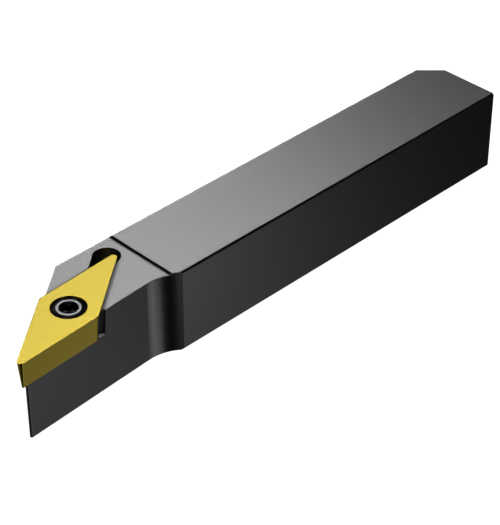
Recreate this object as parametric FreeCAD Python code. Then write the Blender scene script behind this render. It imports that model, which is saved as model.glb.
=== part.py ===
import FreeCAD, Part
import math
import os

# A right-hand external turning holder for a 35 degree rhombic insert, in millimetres.
# +X runs from the tail to the head, +Y towards the cutting side, and +Z up from the base.
# The origin is the middle of the holder's length and width, on the base.

# Shank: a square bar. The insert's nose lies in line with its cutting side.
shank_height = 10.0
shank_width = 10.0
long_edge_chamfer = 0.2
tail_corner_chamfer = 2.6

# From the tail face to the foremost point of the insert's nose.
functional_length = 70.0

# How far the main cutting edge leans away from the shank's length, in degrees.
edge_lean = 3.0

# Head: its top is milled a little below the shank's, up to a step whose face leans back, in degrees.
# A hollow neck narrows it on the cutting side.
head_length = 20.1
head_drop = 0.22
step_lean = 45.0
neck_radius = 5.0
neck_setback = 0.83
body_setback = 0.15
head_tip_radius = 0.19

# Insert: a flat rhombic plate whose flanks lean in towards its base. Angles in degrees.
insert_circle = 6.35
insert_angle = 35.0
insert_thickness = 3.18
insert_clearance = 5.0
nose_radius = 0.4
side_corner_radius = 0.4
least_share_of_radius = 0.25

# Pocket: two walls that follow the insert's flanks, and a relief round its hidden corner, drilled and
# run out under the insert. The longer wall's end leans. Angle in degrees.
wall_gap = 0.01
wall_chamfer = 0.05
wall_end_setback = 1.44
wall_end_lean = 4.0
relief_radius = 1.5
relief_past_corner = 0.58
relief_past_wall = 0.35
relief_run = 3.2
relief_run_inset = 0.05
relief_depth = 0.3

# Clamping screw: its cone seats in the insert's conical mouth. Angle in degrees.
screw_diameter = 2.5
screw_length = 6.5
screw_head = 3.5
screw_head_bevel = 0.47
screw_cone_angle = 60.0
screw_below_top = 0.02
screw_end_chamfer = 0.25
cone_gap = 0.01
mouth_margin = 0.28
bore_clearance = 0.3
thread_gap = 0.02
hole_chamfer = 0.25

# Six-lobe socket in the screw's head, with a conical lead-in. Angle in degrees.
socket_lobes = 6
socket_diameter = 1.94
socket_lobe_height = 0.3
socket_lobe_radius = 0.15
socket_depth = 1.0
socket_point = 0.2
socket_mouth_diameter = 2.07
socket_mouth_angle = 90.0

# How far a cutter runs on past the material that it removes.
overrun = 1.0

# Turns about +Z, in radians, and slopes.
half_angle = math.radians(insert_angle / 2)
edge_turn = math.radians(edge_lean)
nose_turn = edge_turn + half_angle
wall_turn = nose_turn + half_angle
flank_slope = math.tan(math.radians(insert_clearance))
step_slope = math.tan(math.radians(step_lean))
end_slope = math.tan(math.radians(wall_end_lean))
cone_slope = math.tan(math.radians(screw_cone_angle / 2))

# Heights and lengths that follow.
head_top = shank_height - head_drop
seat_height = shank_height - insert_thickness
step_x = functional_length - head_length

# The insert's centre, found from its rounded nose.
inner_radius = insert_circle / 2
centre_to_nose_arc = (inner_radius - nose_radius) / math.sin(half_angle)
insert_x = functional_length - nose_radius - centre_to_nose_arc * math.cos(nose_turn)
insert_y = shank_width - nose_radius - centre_to_nose_arc * math.sin(nose_turn)

# The head's side and front lie inside the insert's base by the set-back.
base_inset = insert_thickness * flank_slope
body_offset = inner_radius - base_inset - body_setback

# Screw and holes.
screw_top = shank_height - screw_below_top
screw_bottom = screw_top - screw_length
mouth_radius = (screw_head + mouth_margin) / 2
bore_radius = (screw_diameter + bore_clearance) / 2
hole_radius = screw_diameter / 2 + thread_gap


def holder_point(x, y, z=0.0):
    """A point given from the tail face, the side away from the cut and the base."""
    return FreeCAD.Vector(x - functional_length / 2, y - shank_width / 2, z)


def insert_point(along, across, turn, z=0.0):
    """A point given from the insert's centre, along a turned direction and to its left."""
    x = insert_x + along * math.cos(turn) - across * math.sin(turn)
    y = insert_y + along * math.sin(turn) + across * math.cos(turn)
    return holder_point(x, y, z)


def line(start, end):
    return Part.LineSegment(start, end).toShape()


def arc(start, middle, end):
    return Part.Arc(start, middle, end).toShape()


def polygon(points):
    return Part.makePolygon(points + [points[0]])


def upright(outline, height):
    """A straight-sided solid that stands on a flat outline."""
    return Part.Face(outline).extrude(FreeCAD.Vector(0, 0, height))


def tapered(lower, upper):
    """A solid with flat faces between two like polygons, one above the other."""
    faces = [Part.Face(polygon(lower)), Part.Face(polygon(upper))]
    for number, corner in enumerate(lower):
        following = (number + 1) % len(lower)
        side = [corner, lower[following], upper[following], upper[number]]
        faces.append(Part.Face(polygon(side)))
    return Part.Solid(Part.Shell(faces))


def turned(profile):
    """A solid of revolution about the screw's axis, from points of radius and height."""
    foot = insert_point(0.0, 0.0, nose_turn)
    points = [foot + FreeCAD.Vector(radius, 0, z) for radius, z in profile]
    return Part.Face(polygon(points)).revolve(foot, FreeCAD.Vector(0, 0, 1), 360)


def rounded_corner(circle, radius, half_corner, axis_turn, z):
    """Start, middle and end of the arc that rounds one corner of a rhombus about a circle."""
    reach = (circle - radius) / math.sin(half_corner)
    half_sweep = math.pi / 2 - half_corner
    return [
        insert_point(reach + radius * math.cos(sweep), radius * math.sin(sweep), axis_turn, z)
        for sweep in (-half_sweep, 0.0, half_sweep)
    ]


def insert_outline(inset, z):
    """The insert's rhombus with rounded corners, set in from the cutting edges."""
    circle = inner_radius - inset
    corners = []
    for quarter in range(4):
        sharp = quarter % 2 == 0
        full_radius = nose_radius if sharp else side_corner_radius
        half_corner = half_angle if sharp else math.pi / 2 - half_angle
        radius = max(full_radius - inset, full_radius * least_share_of_radius)
        axis_turn = nose_turn + quarter * math.pi / 2
        corners.append(rounded_corner(circle, radius, half_corner, axis_turn, z))
    edges = []
    for number, corner in enumerate(corners):
        following = corners[(number + 1) % len(corners)]
        edges.append(arc(*corner))
        edges.append(line(corner[2], following[0]))
    return Part.Wire(edges)


def make_insert():
    """A plate lofted from its smaller base to the cutting edges, with a hole for the screw."""
    base = insert_outline(base_inset, seat_height)
    top = insert_outline(0.0, shank_height)
    plate = Part.makeLoft([base, top], True, True)
    cone_start = shank_height - (mouth_radius - bore_radius) / cone_slope
    hole = turned([
        (0, seat_height - overrun),
        (bore_radius, seat_height - overrun),
        (bore_radius, cone_start),
        (mouth_radius + overrun * cone_slope, shank_height + overrun),
        (0, shank_height + overrun),
    ])
    return plate.cut(hole)


def socket_outline(z):
    """Six round lobes joined by hollow flutes, each arc running smoothly into the next."""
    root = socket_diameter / 2 - socket_lobe_height
    lobe_reach = socket_diameter / 2 - socket_lobe_radius
    step = math.pi / socket_lobes
    spread = lobe_reach * math.cos(step)
    above = lobe_reach ** 2 + root ** 2 - 2 * root * spread - socket_lobe_radius ** 2
    flute_radius = above / (2 * (socket_lobe_radius + spread - root))
    flute_reach = root + flute_radius

    flute_x = flute_reach * math.cos(step)
    flute_y = flute_reach * math.sin(step)
    share = socket_lobe_radius / (socket_lobe_radius + flute_radius)
    meet_x = lobe_reach + (flute_x - lobe_reach) * share
    meet_y = flute_y * share

    edges = []
    for lobe in range(socket_lobes):
        turn = nose_turn + 2 * step * lobe
        before = insert_point(meet_x, -meet_y, turn, z)
        crown = insert_point(socket_diameter / 2, 0.0, turn, z)
        after = insert_point(meet_x, meet_y, turn, z)
        hollow = insert_point(root, 0.0, turn + step, z)
        following = insert_point(meet_x, -meet_y, turn + 2 * step, z)
        edges.append(arc(before, crown, after))
        edges.append(arc(after, hollow, following))
    return Part.Wire(edges)


def make_clamp_screw():
    """A countersunk screw: flat face, bevel, seating cone and shank, with a six-lobe socket."""
    head_radius = screw_head / 2
    shank_radius = screw_diameter / 2
    cone_radius_at_top = mouth_radius - cone_gap
    head_edge = shank_height - (cone_radius_at_top - head_radius) / cone_slope
    cone_end = shank_height - (cone_radius_at_top - shank_radius) / cone_slope
    body = turned([
        (0, screw_top),
        (head_radius - screw_head_bevel, screw_top),
        (head_radius, head_edge),
        (shank_radius, cone_end),
        (shank_radius, screw_bottom + screw_end_chamfer),
        (shank_radius - screw_end_chamfer, screw_bottom),
        (0, screw_bottom),
    ])
    floor = screw_top - socket_depth
    socket = upright(socket_outline(floor), socket_depth + overrun)
    root = socket_diameter / 2 - socket_lobe_height
    point = turned([(0, floor), (root, floor), (0, floor - socket_point)])
    lead_radius = socket_mouth_diameter / 2
    lead_slope = math.tan(math.radians(socket_mouth_angle / 2))
    lead_in = turned([
        (0, screw_top - lead_radius / lead_slope),
        (lead_radius + overrun * lead_slope, screw_top + overrun),
        (0, screw_top + overrun),
    ])
    return body.cut(socket).cut(point).cut(lead_in)


def holder_outline():
    """The holder seen from above: tail, far side, head front, tip, head side and hollow neck."""
    centre = insert_point(0.0, 0.0, nose_turn)
    side_direction = FreeCAD.Vector(math.cos(edge_turn), math.sin(edge_turn), 0)
    side_normal = FreeCAD.Vector(-math.sin(edge_turn), math.cos(edge_turn), 0)
    front_normal = FreeCAD.Vector(math.sin(wall_turn), -math.cos(wall_turn), 0)

    front_foot = centre + front_normal * body_offset
    far_side = holder_point(0, 0).y
    front_run = (front_foot.y - far_side) / math.tan(wall_turn)
    far_corner = FreeCAD.Vector(front_foot.x - front_run, far_side, 0)

    tip_reach = (body_offset - head_tip_radius) / math.sin(half_angle)
    tip_centre = insert_point(tip_reach, 0.0, nose_turn)
    tip_front = tip_centre + front_normal * head_tip_radius
    tip_middle = insert_point(tip_reach + head_tip_radius, 0.0, nose_turn)
    tip_side = tip_centre + side_normal * head_tip_radius

    neck_edge = holder_point(step_x - neck_setback, shank_width)
    neck_rise = (neck_edge - centre).dot(side_normal) - body_offset
    neck_run = math.sqrt(2 * neck_radius * neck_rise - neck_rise ** 2)
    neck_foot = neck_edge + side_direction * neck_run - side_normal * neck_rise
    neck_centre = neck_foot + side_normal * neck_radius
    chord_middle = (neck_edge + neck_foot) * 0.5
    neck_middle = neck_centre + (chord_middle - neck_centre).normalize() * neck_radius

    tail_near = holder_point(0, shank_width)
    tail_far = holder_point(0, tail_corner_chamfer)
    tail_side = holder_point(tail_corner_chamfer, 0)
    return Part.Wire([
        line(tail_near, tail_far),
        line(tail_far, tail_side),
        line(tail_side, far_corner),
        line(far_corner, tip_front),
        arc(tip_front, tip_middle, tip_side),
        line(tip_side, neck_foot),
        arc(neck_foot, neck_middle, neck_edge),
        line(neck_edge, tail_near),
    ])


def chamfered_bar():
    """The bar that the holder is milled from, with its four long edges chamfered."""
    cut = long_edge_chamfer
    wide = shank_width
    high = shank_height
    section = [
        (cut, 0), (wide - cut, 0), (wide, cut), (wide, high - cut),
        (wide - cut, high), (cut, high), (0, high - cut), (0, cut),
    ]
    outline = polygon([holder_point(0, y, z) for y, z in section])
    return Part.Face(outline).extrude(FreeCAD.Vector(functional_length, 0, 0))


def head_clearance():
    """The space above the lowered head, which leaves a leaning step across the holder's top."""
    front = functional_length + overrun
    above = shank_height + overrun
    section = [
        (step_x + head_drop * step_slope, head_top),
        (front, head_top),
        (front, above),
        (step_x - overrun * step_slope, above),
    ]
    outline = polygon([holder_point(x, -overrun, z) for x, z in section])
    return Part.Face(outline).extrude(FreeCAD.Vector(0, shank_width + 2 * overrun, 0))


def relief_centre():
    """The centre of the relief's round end, along and across the longer pocket wall."""
    corner = -inner_radius / math.tan(half_angle)
    along = corner - relief_past_corner + relief_radius
    across = inner_radius + relief_past_wall - relief_radius
    return along, across


def pocket_corners(offset, z):
    """The insert's room seen from above: two walls, the squared-off wall end and the open sides.
    The walls' own corner is left out, because the relief takes it away."""
    reach = 2 * head_length
    slope = math.tan(2 * half_angle)
    corner = -offset / math.tan(half_angle)
    inner = relief_centre()[0]
    outer = corner + reach
    wall_end = inner_radius * math.tan(half_angle) - wall_end_setback + (head_top - z) * end_slope
    points = [
        (inner, offset),
        (inner, offset - (inner - corner) * slope),
        (outer, offset - reach * slope),
        (outer, offset + reach),
        (wall_end, offset + reach),
        (wall_end, offset),
    ]
    return [insert_point(along, across, wall_turn, z) for along, across in points]


def pocket():
    """The insert's room from its seat upwards, with walls that lean as its flanks do."""
    floor_offset = inner_radius - base_inset + wall_gap
    top_offset = inner_radius + overrun * flank_slope + wall_gap
    floor = pocket_corners(floor_offset, seat_height)
    top = pocket_corners(top_offset, shank_height + overrun)
    return tapered(floor, top)


def wall_chamfer_space():
    """The chamfer along the top of both pocket walls."""
    low = head_top - wall_chamfer
    low_offset = inner_radius - (shank_height - low) * flank_slope + wall_gap
    rise = wall_chamfer + overrun
    lower = pocket_corners(low_offset, low)
    upper = pocket_corners(low_offset + rise, low + rise)
    return tapered(lower, upper)


def corner_relief():
    """The relief round the insert's hidden corner: a drilled hole with a flat floor, and a wedge cut
    from it out under the insert, whose outer side lies a little inside the hole's edge."""
    along, across = relief_centre()
    floor = seat_height - relief_depth
    height = shank_height + overrun - floor
    far = across - relief_radius + relief_run_inset
    centre = insert_point(along, across, wall_turn, floor)
    run = polygon([
        centre,
        insert_point(along, far, wall_turn, floor),
        insert_point(along + relief_run, far, wall_turn, floor),
    ])
    return Part.makeCylinder(relief_radius, height, centre).fuse(upright(run, height))


def tapped_hole():
    """The hole for the screw, right through the head, with a chamfer at each end."""
    wide = hole_radius + hole_chamfer + overrun
    return turned([
        (0, -overrun),
        (wide, -overrun),
        (hole_radius, hole_chamfer),
        (hole_radius, seat_height - hole_chamfer),
        (wide, seat_height + overrun),
        (0, seat_height + overrun),
    ])


def make_holder_body():
    """The one-piece holder, milled from the bar."""
    body = chamfered_bar().common(upright(holder_outline(), shank_height))
    for space in (head_clearance(), pocket(), wall_chamfer_space(), corner_relief(), tapped_hole()):
        body = body.cut(space)
    return body.removeSplitter()


pieces = {
    "holder_body": make_holder_body(),
    "insert": make_insert(),
    "clamp_screw": make_clamp_screw(),
}

os.makedirs("parts", exist_ok=True)
for name, shape in pieces.items():
    solid = shape.Solids[0]
    print(name, "solids", len(shape.Solids), "valid", shape.isValid(), "volume", round(shape.Volume, 3))
    solid.exportStep("parts/" + name + ".step")
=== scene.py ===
import bpy
import math
from mathutils import Matrix, Vector


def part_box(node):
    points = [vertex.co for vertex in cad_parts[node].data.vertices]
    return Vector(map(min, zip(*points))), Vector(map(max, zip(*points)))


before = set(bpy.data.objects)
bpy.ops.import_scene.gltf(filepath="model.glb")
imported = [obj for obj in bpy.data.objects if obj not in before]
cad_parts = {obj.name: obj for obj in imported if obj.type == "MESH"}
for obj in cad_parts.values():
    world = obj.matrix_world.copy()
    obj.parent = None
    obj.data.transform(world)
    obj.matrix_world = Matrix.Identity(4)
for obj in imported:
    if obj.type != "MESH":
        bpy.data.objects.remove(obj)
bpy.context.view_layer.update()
mm = 0.001

# The holder lies along X with its cutting nose at +X, and its cutting side faces +Y.
screwLow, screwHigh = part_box("clamp_screw")
screwMiddle = ((screwLow[0] + screwHigh[0]) / 2, (screwLow[1] + screwHigh[1]) / 2, 0.0)
screwTop = screwHigh[2]
stepX = 14.9 * mm  # where the head's lowered top meets the shank's
print("frame loaded")


# Node helpers

def newMaterial(name):
    material = bpy.data.materials.new(name)
    material.use_nodes = True
    tree = material.node_tree
    tree.nodes.clear()
    output = tree.nodes.new("ShaderNodeOutputMaterial")
    shader = tree.nodes.new("ShaderNodeBsdfPrincipled")
    tree.links.new(shader.outputs["BSDF"], output.inputs["Surface"])
    return material, tree, shader


def feed(tree, node, inputs):
    for label, value in inputs.items():
        if isinstance(value, bpy.types.NodeSocket):
            tree.links.new(value, node.inputs[label])
        else:
            node.inputs[label].default_value = value


def addNode(tree, kind, inputs, **properties):
    node = tree.nodes.new(kind)
    for label, value in properties.items():
        setattr(node, label, value)
    feed(tree, node, inputs)
    return node


def mathNode(tree, operation, first, second):
    return addNode(tree, "ShaderNodeMath", {0: first, 1: second}, operation=operation).outputs["Value"]


def product(tree, first, second):
    return mathNode(tree, "MULTIPLY", first, second)


def average(tree, first, second):
    return mathNode(tree, "ADD", product(tree, first, 0.5), product(tree, second, 0.5))


def vectorNode(tree, operation, inputs, output="Vector"):
    return addNode(tree, "ShaderNodeVectorMath", inputs, operation=operation).outputs[output]


def components(tree, vector):
    return addNode(tree, "ShaderNodeSeparateXYZ", {"Vector": vector}).outputs


def remap(tree, value, fromRange, toRange, smooth=False):
    inputs = {
        "Value": value, "From Min": fromRange[0], "From Max": fromRange[1],
        "To Min": toRange[0], "To Max": toRange[1],
    }
    kind = "SMOOTHSTEP" if smooth else "LINEAR"
    return addNode(tree, "ShaderNodeMapRange", inputs, interpolation_type=kind).outputs["Result"]


def mixColor(tree, share, first, second):
    node = tree.nodes.new("ShaderNodeMix")
    node.data_type = "RGBA"
    feed(tree, node, {0: share, 6: first, 7: second})
    return node.outputs[2]


def mixValue(tree, share, first, second):
    return addNode(tree, "ShaderNodeMix", {"Factor": share, "A": first, "B": second}).outputs["Result"]


def objectPlace(tree):
    return tree.nodes.new("ShaderNodeTexCoord").outputs["Object"]


def surfaceNormal(tree):
    return tree.nodes.new("ShaderNodeNewGeometry").outputs["Normal"]


def roundedNormal(tree, radius, samples):
    return addNode(tree, "ShaderNodeBevel", {"Radius": radius}, samples=samples).outputs["Normal"]


def bumpedNormal(tree, height, depth, more):
    inputs = {"Strength": 1.0, "Distance": depth, "Height": height, **more}
    return addNode(tree, "ShaderNodeBump", inputs).outputs["Normal"]


def newGroup(name, inputs, outputLabel):
    group = bpy.data.node_groups.new(name, "ShaderNodeTree")
    for label, kind, value in inputs:
        socket = group.interface.new_socket(label, in_out="INPUT", socket_type=kind)
        socket.default_value = value
    group.interface.new_socket(outputLabel, in_out="OUTPUT", socket_type="NodeSocketFloat")
    start = group.nodes.new("NodeGroupInput")
    end = group.nodes.new("NodeGroupOutput")
    return group, start.outputs, end.inputs[outputLabel]


def useGroup(tree, group, inputs):
    node = tree.nodes.new("ShaderNodeGroup")
    node.node_tree = group
    feed(tree, node, inputs)
    return node.outputs[0]


# Shared effects

# Cloudy noise, stretched by a count of grains per metre along each axis, and spread about one half.
grainSettings = {"stretch": (1000, 1000, 1000), "detail": 2.0, "roughness": 0.6, "spread": (0.25, 0.75)}


def buildGrain(settings):
    group, given, result = newGroup("directionalGrain", [
        ("Vector", "NodeSocketVector", (0, 0, 0)),
        ("Stretch", "NodeSocketVector", settings["stretch"]),
        ("Detail", "NodeSocketFloat", settings["detail"]),
    ], "Value")
    scaled = vectorNode(group, "MULTIPLY", {0: given["Vector"], 1: given["Stretch"]})
    noise = addNode(group, "ShaderNodeTexNoise", {
        "Vector": scaled, "Scale": 1.0, "Detail": given["Detail"], "Roughness": settings["roughness"],
    })
    group.links.new(remap(group, noise.outputs["Fac"], settings["spread"], (0.0, 1.0)), result)
    return group


# One at an edge: how far the normal turns within the radius, broken up by noise.
wearSettings = {
    "radius": 0.04 * mm,
    "samples": 6,
    "turn": (0.99, 0.85),  # the turn's cosines where wear starts and is full
    "breakScale": 2500.0,
    "breakDetail": 3.0,
    "breakRange": (0.35, 0.6),
    "leastWear": 0.3,
}


def buildEdgeWear(settings):
    group, given, result = newGroup("edgeWear", [
        ("Vector", "NodeSocketVector", (0, 0, 0)),
        ("Radius", "NodeSocketFloat", settings["radius"]),
    ], "Mask")
    rounded = roundedNormal(group, given["Radius"], settings["samples"])
    turn = vectorNode(group, "DOT_PRODUCT", {0: rounded, 1: surfaceNormal(group)}, "Value")
    edge = remap(group, turn, settings["turn"], (0.0, 1.0))
    noise = addNode(group, "ShaderNodeTexNoise", {
        "Vector": given["Vector"], "Scale": settings["breakScale"], "Detail": settings["breakDetail"],
    })
    broken = remap(group, noise.outputs["Fac"], settings["breakRange"], (settings["leastWear"], 1.0))
    group.links.new(product(group, edge, broken), result)
    return group


# A mask for painted shade deep in an inner corner: how much of the sky above the surface the corner's walls
# hide.
paintedShadeSettings = {"reach": 2 * mm, "full": 0.84, "none": 0.945, "samples": 64}


def buildPaintedShade(settings):
    group, given, result = newGroup("cornerPaintedShade", [
        ("Reach", "NodeSocketFloat", settings["reach"]),
        ("Full", "NodeSocketFloat", settings["full"]),
        ("None", "NodeSocketFloat", settings["none"]),
    ], "Mask")
    sky = addNode(group, "ShaderNodeAmbientOcclusion", {"Distance": given["Reach"]}, samples=settings["samples"])
    mask = remap(group, sky.outputs["AO"], (given["Full"], given["None"]), (1.0, 0.0), smooth=True)
    group.links.new(mask, result)
    return group


grainGroup = buildGrain(grainSettings)
wearGroup = buildEdgeWear(wearSettings)
paintedShadeGroup = buildPaintedShade(paintedShadeSettings)


# Holder: dark burnished steel, ground along the bar and milled upright round the head. Painted shade darkens
# the inner corners of the seat and of the lowered top, and in each pair below the seat's value comes first.

steel = {
    "dark": (0.388, 0.388, 0.388, 1),
    "light": (0.412, 0.412, 0.412, 1),
    "worn": (0.56, 0.56, 0.56, 1),
    "paintedShadeLevel": (0.31, 0.36),  # what is left of the brightness under the painted shade
    "paintedShadeFull": (0.84, 0.90),
    "paintedShadeNone": (0.945, 0.957),
    "seatToTop": (9.4 * mm, 9.6 * mm),  # the heights between which the seat's values change to the top's
    "paintedShadeFloor": 6.7 * mm,  # no painted shade lies below this, so the relief under the seat is not darkened
    "paintedShadeFacing": 0.9,  # only faces that look upwards are darkened
    "groundGrain": (150, 9000, 9000),  # grains per metre along X, Y and Z
    "milledGrain": (5000, 5000, 150),
    "clouds": (350, 350, 350),
    "cloudDetail": 4.0,
    "roughness": (0.218, 0.232),
    "grainDepth": 0.00015 * mm,
    "edgeRadius": 0.08 * mm,  # how far the light sees the edges rounded
    "edgeSamples": 8,
    "wearRadius": 0.04 * mm,
    "wear": 0.1,
}


def buildSteel(settings):
    material, tree, shader = newMaterial("burnishedSteel")
    place = objectPlace(tree)
    ground = useGroup(tree, grainGroup, {"Vector": place, "Stretch": settings["groundGrain"]})
    milled = useGroup(tree, grainGroup, {"Vector": place, "Stretch": settings["milledGrain"]})
    clouds = useGroup(tree, grainGroup, {
        "Vector": place, "Stretch": settings["clouds"], "Detail": settings["cloudDetail"],
    })
    spot = components(tree, place)
    onHead = mathNode(tree, "GREATER_THAN", spot["X"], stepX)
    grain = mixValue(tree, onHead, ground, milled)
    tone = average(tree, grain, clouds)
    color = mixColor(tree, tone, settings["dark"], settings["light"])
    wear = useGroup(tree, wearGroup, {"Vector": place, "Radius": settings["wearRadius"]})
    worn = mixColor(tree, product(tree, wear, settings["wear"]), color, settings["worn"])
    facing = components(tree, surfaceNormal(tree))["Z"]
    full, none, left = (
        remap(tree, spot["Z"], settings["seatToTop"], settings[key])
        for key in ("paintedShadeFull", "paintedShadeNone", "paintedShadeLevel")
    )
    # Painted shade: the colour is darkened on up-facing faces where the walls of inner corners hide the sky
    cornerShadeMask = useGroup(tree, paintedShadeGroup, {"Full": full, "None": none})
    heldShadeMask = product(tree, cornerShadeMask, mathNode(tree, "GREATER_THAN", facing, settings["paintedShadeFacing"]))
    shadeMask = product(tree, heldShadeMask, mathNode(tree, "GREATER_THAN", spot["Z"], settings["paintedShadeFloor"]))
    shade = remap(tree, shadeMask, (0.0, 1.0), (1.0, left))
    rounded = roundedNormal(tree, settings["edgeRadius"], settings["edgeSamples"])
    low, high = settings["roughness"]
    feed(tree, shader, {
        "Base Color": vectorNode(tree, "SCALE", {0: worn, "Scale": shade}),
        "Metallic": 1.0,
        "Roughness": remap(tree, tone, (0.0, 1.0), (high, low)),
        "Normal": bumpedNormal(tree, grain, settings["grainDepth"], {"Normal": rounded}),
    })
    return material


# Insert: a gold-coloured hard coating over ground carbide, with honed edges. Painted shade darkens it in the
# screw's conical mouth, on the flank that faces the longer wall, and on the top's edge along the other wall.

gold = {
    "deep": (0.860, 0.660, 0.089, 1),
    "pale": (0.885, 0.685, 0.097, 1),
    "honed": (0.93, 0.80, 0.25, 1),
    # the near-black colour of the painted shade
    "paintedShadeColor": (0.07, 0.055, 0.012, 1),
    "coatingGrain": (14000, 14000, 14000),
    "groundGrain": (500, 500, 16000),
    "clouds": (500, 500, 500),
    "cloudDetail": 4.0,
    "roughness": (0.218, 0.232),
    "grainDepth": 0.0001 * mm,
    "honedRadius": 0.03 * mm,
    "honing": 0.05,
    "topFacing": (0.5, 0.9),  # the normal's height where a face starts and stops turning to the top
    "mouthFacing": (0.2, 0.4),
    "mouthEnd": (0.6, 0.9),
    "wallFlankFacing": (-0.15, -0.35),  # the normal's X
    "seamRadius": 0.11 * mm,  # how wide the painted shade lies on the top's edge
    "seamSamples": 8,
    "seamLean": (-0.1, -0.3),  # the rounded normal's Y
    "seamShadeStrength": 0.9,
}


def buildGold(settings):
    material, tree, shader = newMaterial("goldCoating")
    place = objectPlace(tree)
    fine = useGroup(tree, grainGroup, {"Vector": place, "Stretch": settings["coatingGrain"]})
    ground = useGroup(tree, grainGroup, {"Vector": place, "Stretch": settings["groundGrain"]})
    clouds = useGroup(tree, grainGroup, {
        "Vector": place, "Stretch": settings["clouds"], "Detail": settings["cloudDetail"],
    })
    facing = components(tree, surfaceNormal(tree))
    onTop = remap(tree, facing["Z"], settings["topFacing"], (0.0, 1.0))
    grain = mixValue(tree, onTop, ground, fine)
    tone = average(tree, grain, clouds)
    color = mixColor(tree, tone, settings["deep"], settings["pale"])
    edge = useGroup(tree, wearGroup, {"Vector": place, "Radius": settings["honedRadius"]})
    honed = mixColor(tree, product(tree, edge, settings["honing"]), color, settings["honed"])
    # Painted shade: the colour turns near black in the screw's mouth, on the flank facing the longer wall and
    # along the top's far edge
    inMouth = product(
        tree,
        remap(tree, facing["Z"], settings["mouthFacing"], (0.0, 1.0)),
        remap(tree, facing["Z"], settings["mouthEnd"], (1.0, 0.0)),
    )
    lean = components(tree, roundedNormal(tree, settings["seamRadius"], settings["seamSamples"]))["Y"]
    beyondScrew = mathNode(tree, "LESS_THAN", components(tree, place)["Y"], screwMiddle[1])
    atWall = product(tree, remap(tree, lean, settings["seamLean"], (0.0, settings["seamShadeStrength"])), beyondScrew)
    onWallFlank = remap(tree, facing["X"], settings["wallFlankFacing"], (0.0, 1.0))
    inPocket = mathNode(tree, "MAXIMUM", onWallFlank, product(tree, atWall, onTop))
    sootAndPaintedShade = mathNode(tree, "MAXIMUM", inMouth, inPocket)
    low, high = settings["roughness"]
    feed(tree, shader, {
        "Base Color": mixColor(tree, sootAndPaintedShade, honed, settings["paintedShadeColor"]),
        "Metallic": 1.0,
        "Roughness": remap(tree, tone, (0.0, 1.0), (high, low)),
        "Normal": bumpedNormal(tree, grain, settings["grainDepth"], {}),
    })
    return material


# Screw: blackened steel, its flat face turned bright in fine rings

screw = {
    "black": (0.018, 0.018, 0.018, 1),
    "sootAndPaintedShade": (0.03, 0.03, 0.03, 1),
    "brightDark": (0.385, 0.385, 0.395, 1),
    "brightLight": (0.435, 0.435, 0.445, 1),
    "faceDepth": 0.012 * mm,  # how far below the face's plane the brightness ends
    "ringsPerMetre": 40000,
    "gritGrain": (9000, 9000, 9000),
    "roughness": (0.21, 0.24),
    "ringHeight": 0.0003 * mm,
}


def buildScrew(settings):
    material, tree, shader = newMaterial("blackenedScrew")
    place = objectPlace(tree)
    centred = vectorNode(tree, "SUBTRACT", {0: place, 1: screwMiddle})
    flat = vectorNode(tree, "MULTIPLY", {0: centred, 1: (1, 1, 0)})
    radius = vectorNode(tree, "LENGTH", {0: flat}, "Value")
    ringPlace = addNode(tree, "ShaderNodeCombineXYZ", {"X": radius}).outputs["Vector"]
    rings = useGroup(tree, grainGroup, {"Vector": ringPlace, "Stretch": (settings["ringsPerMetre"], 1, 1)})
    depth = settings["faceDepth"]
    face = remap(tree, components(tree, place)["Z"], (screwTop - depth, screwTop - depth / 2), (0.0, 1.0))
    grit = useGroup(tree, grainGroup, {"Vector": place, "Stretch": settings["gritGrain"]})
    blackened = mixColor(tree, grit, settings["black"], settings["sootAndPaintedShade"])
    bright = mixColor(tree, rings, settings["brightDark"], settings["brightLight"])
    feed(tree, shader, {
        "Base Color": mixColor(tree, face, blackened, bright),
        "Metallic": 1.0,
        "Roughness": remap(tree, rings, (0.0, 1.0), settings["roughness"]),
        "Normal": bumpedNormal(tree, rings, settings["ringHeight"], {}),
    })
    return material


def finishNode(name, material):
    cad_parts[name].material_slots[0].material = material


finishNode("holder_body", buildSteel(steel))
finishNode("insert", buildGold(gold))
finishNode("clamp_screw", buildScrew(screw))
print("materials done")


# Floor: it glows as bright as the backdrop, a little darker under the tool, and casts no light on it

floorSettings = {
    "size": 6.0,
    "color": (0.9, 0.9, 0.9, 1),
    "roughness": 0.9,
    "glow": 0.985,
    "contactReach": 6 * mm,
    "contactRange": (0.5, 1.0),
    "contactShade": 0.965,
    "contactSamples": 32,
}


def buildFloor(settings):
    half = settings["size"] / 2
    mesh = bpy.data.meshes.new("paleFloor")
    corners = [(-half, -half, 0), (half, -half, 0), (half, half, 0), (-half, half, 0)]
    mesh.from_pydata(corners, [], [(0, 1, 2, 3)])
    floor = bpy.data.objects.new("paleFloor", mesh)
    bpy.context.scene.collection.objects.link(floor)
    material, tree, shader = newMaterial("paleFloor")
    near = addNode(tree, "ShaderNodeAmbientOcclusion", {"Distance": settings["contactReach"]},
                   samples=settings["contactSamples"]).outputs["AO"]
    shade = remap(tree, near, settings["contactRange"], (settings["contactShade"], 1.0))
    glow = addNode(tree, "ShaderNodeCombineXYZ", {"X": shade, "Y": shade, "Z": shade})
    feed(tree, shader, {
        "Base Color": settings["color"],
        "Roughness": settings["roughness"],
        "Emission Color": glow.outputs["Vector"],
        "Emission Strength": settings["glow"],
    })
    mesh.materials.append(material)
    floor.visible_glossy = False
    floor.visible_diffuse = False
    floor.visible_transmission = False
    floor.visible_shadow = False


buildFloor(floorSettings)


def direction(azimuth, elevation):
    across = math.cos(math.radians(elevation))
    along = math.radians(azimuth)
    return Vector((math.cos(along) * across, math.sin(along) * across, math.sin(math.radians(elevation))))


# Room: a soft grey, darker below the horizon than above it

roomSettings = {"low": 0.12, "high": 0.48, "blend": 0.2, "backdrop": 1.0}

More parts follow.
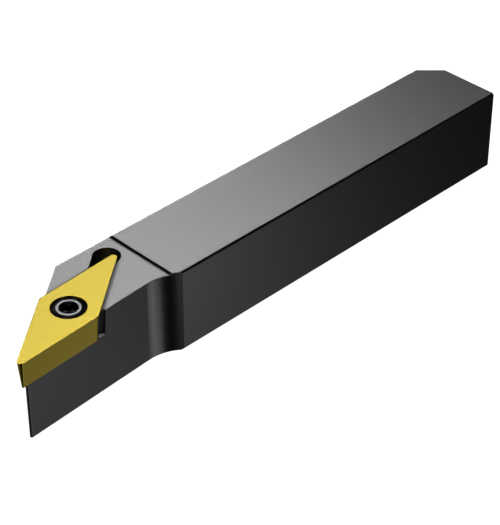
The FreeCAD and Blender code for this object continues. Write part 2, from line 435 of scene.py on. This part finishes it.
# Black flags in the room: where each hangs, and the angles from its middle where it starts and stops to fade.
flags = {
    "behindSide": {"azimuth": 138, "elevation": -40, "full": 14, "gone": 42},
    "behindNeck": {"azimuth": 100, "elevation": -40, "full": 14, "gone": 40},
    "behindHollow": {"azimuth": 62, "elevation": -38, "full": 12, "gone": 36},
    "behindWallEnd": {"azimuth": 25, "elevation": -32, "full": 15, "gone": 36},
    "overTop": {"azimuth": 225, "elevation": 36, "full": 14, "gone": 36},
    "overLongEdge": {"azimuth": 135, "elevation": 37, "full": 22, "gone": 50},
    "overStep": {"azimuth": 316, "elevation": 36, "full": 18, "gone": 42},
    "overRelief": {"azimuth": 45, "elevation": 32, "full": 12, "gone": 32},
}


def buildRoom(settings, flags):
    world = bpy.data.worlds.new("studioRoom")
    bpy.context.scene.world = world
    world.use_nodes = True
    tree = world.node_tree
    tree.nodes.clear()
    output = tree.nodes.new("ShaderNodeOutputWorld")
    towards = tree.nodes.new("ShaderNodeTexCoord").outputs["Generated"]
    height = components(tree, towards)["Z"]
    blend = settings["blend"]
    level = remap(tree, height, (-blend, blend), (settings["low"], settings["high"]), smooth=True)
    for flag in flags.values():
        middle = direction(flag["azimuth"], flag["elevation"])
        near = vectorNode(tree, "DOT_PRODUCT", {0: towards, 1: middle}, "Value")
        fade = (math.cos(math.radians(flag["gone"])), math.cos(math.radians(flag["full"])))
        level = product(tree, level, remap(tree, near, fade, (1.0, 0.0), smooth=True))
    fromCamera = tree.nodes.new("ShaderNodeLightPath").outputs["Is Camera Ray"]
    seen = remap(tree, fromCamera, (0.0, 1.0), (level, settings["backdrop"]))
    background = addNode(tree, "ShaderNodeBackground", {"Strength": seen})
    tree.links.new(background.outputs["Background"], output.inputs["Surface"])


buildRoom(roomSettings, flags)


# Softboxes: each is a round lamp far away. Its width is the angle that it fills, seen from the tool.

softboxDistance = 10.0
softboxes = {
    "topBack": {"azimuth": 235.6, "elevation": 18.0, "width": 20.5, "radiance": 4.802, "shadow": False},
    "topHigh": {"azimuth": 226.1, "elevation": 46.7, "width": 24.5, "radiance": 1.112, "shadow": False},
    "sideLow": {"azimuth": 123.9, "elevation": -32.3, "width": 14.5, "radiance": 0.310, "shadow": True},
    "sideDeep": {"azimuth": 110.7, "elevation": -47.1, "width": 23.2, "radiance": 0.245, "shadow": True},
    "neckGlint": {"azimuth": 52.6, "elevation": -24.5, "width": 8.0, "radiance": 2.520, "shadow": True},
    "flankLow": {"azimuth": 146.5, "elevation": -47.6, "width": 15.7, "radiance": 0.225, "shadow": True},
}


def buildSoftbox(name, settings, distance):
    towards = direction(settings["azimuth"], settings["elevation"])
    diameter = 2 * distance * math.tan(math.radians(settings["width"] / 2))
    area = math.pi * diameter ** 2 / 4
    data = bpy.data.lights.new(name, "AREA")
    data.shape = "DISK"
    data.size = diameter
    data.energy = settings["radiance"] * math.pi * area
    data.use_shadow = settings["shadow"]
    data.cycles.use_multiple_importance_sampling = settings["shadow"]
    lamp = bpy.data.objects.new(name, data)
    lamp.location = towards * distance
    lamp.rotation_euler = towards.to_track_quat("Z", "Y").to_euler()
    lamp.visible_camera = False
    bpy.context.scene.collection.objects.link(lamp)


for name, settings in softboxes.items():
    buildSoftbox(name, settings, softboxDistance)
print("lights done")


# Camera: its place in millimetres, its turns in degrees, and its focal length in the photograph's pixels

cameraSettings = {
    "location": (117.41, 119.21, 124.05),
    "yaw": 45.332,
    "pitch": 36.257,
    "roll": -0.052,
    "focalPixels": 1905.3,
    "longSidePixels": 525,
    "sensorWidth": 36.0,
    "clipStart": 0.01,
    "clipEnd": 20.0,
}


def buildCamera(settings):
    data = bpy.data.cameras.new("camera")
    data.sensor_width = settings["sensorWidth"]
    data.lens = settings["focalPixels"] / settings["longSidePixels"] * settings["sensorWidth"]
    data.clip_start = settings["clipStart"]
    data.clip_end = settings["clipEnd"]
    turn = direction(settings["yaw"], settings["pitch"]).to_track_quat("Z", "Y").to_matrix().to_4x4()
    roll = Matrix.Rotation(math.radians(settings["roll"]), 4, "Z")
    camera = bpy.data.objects.new("camera", data)
    camera.matrix_world = Matrix.Translation(Vector(settings["location"]) * mm) @ turn @ roll
    bpy.context.scene.collection.objects.link(camera)
    bpy.context.scene.camera = camera


buildCamera(cameraSettings)
bpy.context.scene.view_settings.view_transform = "Standard"
print("camera done")
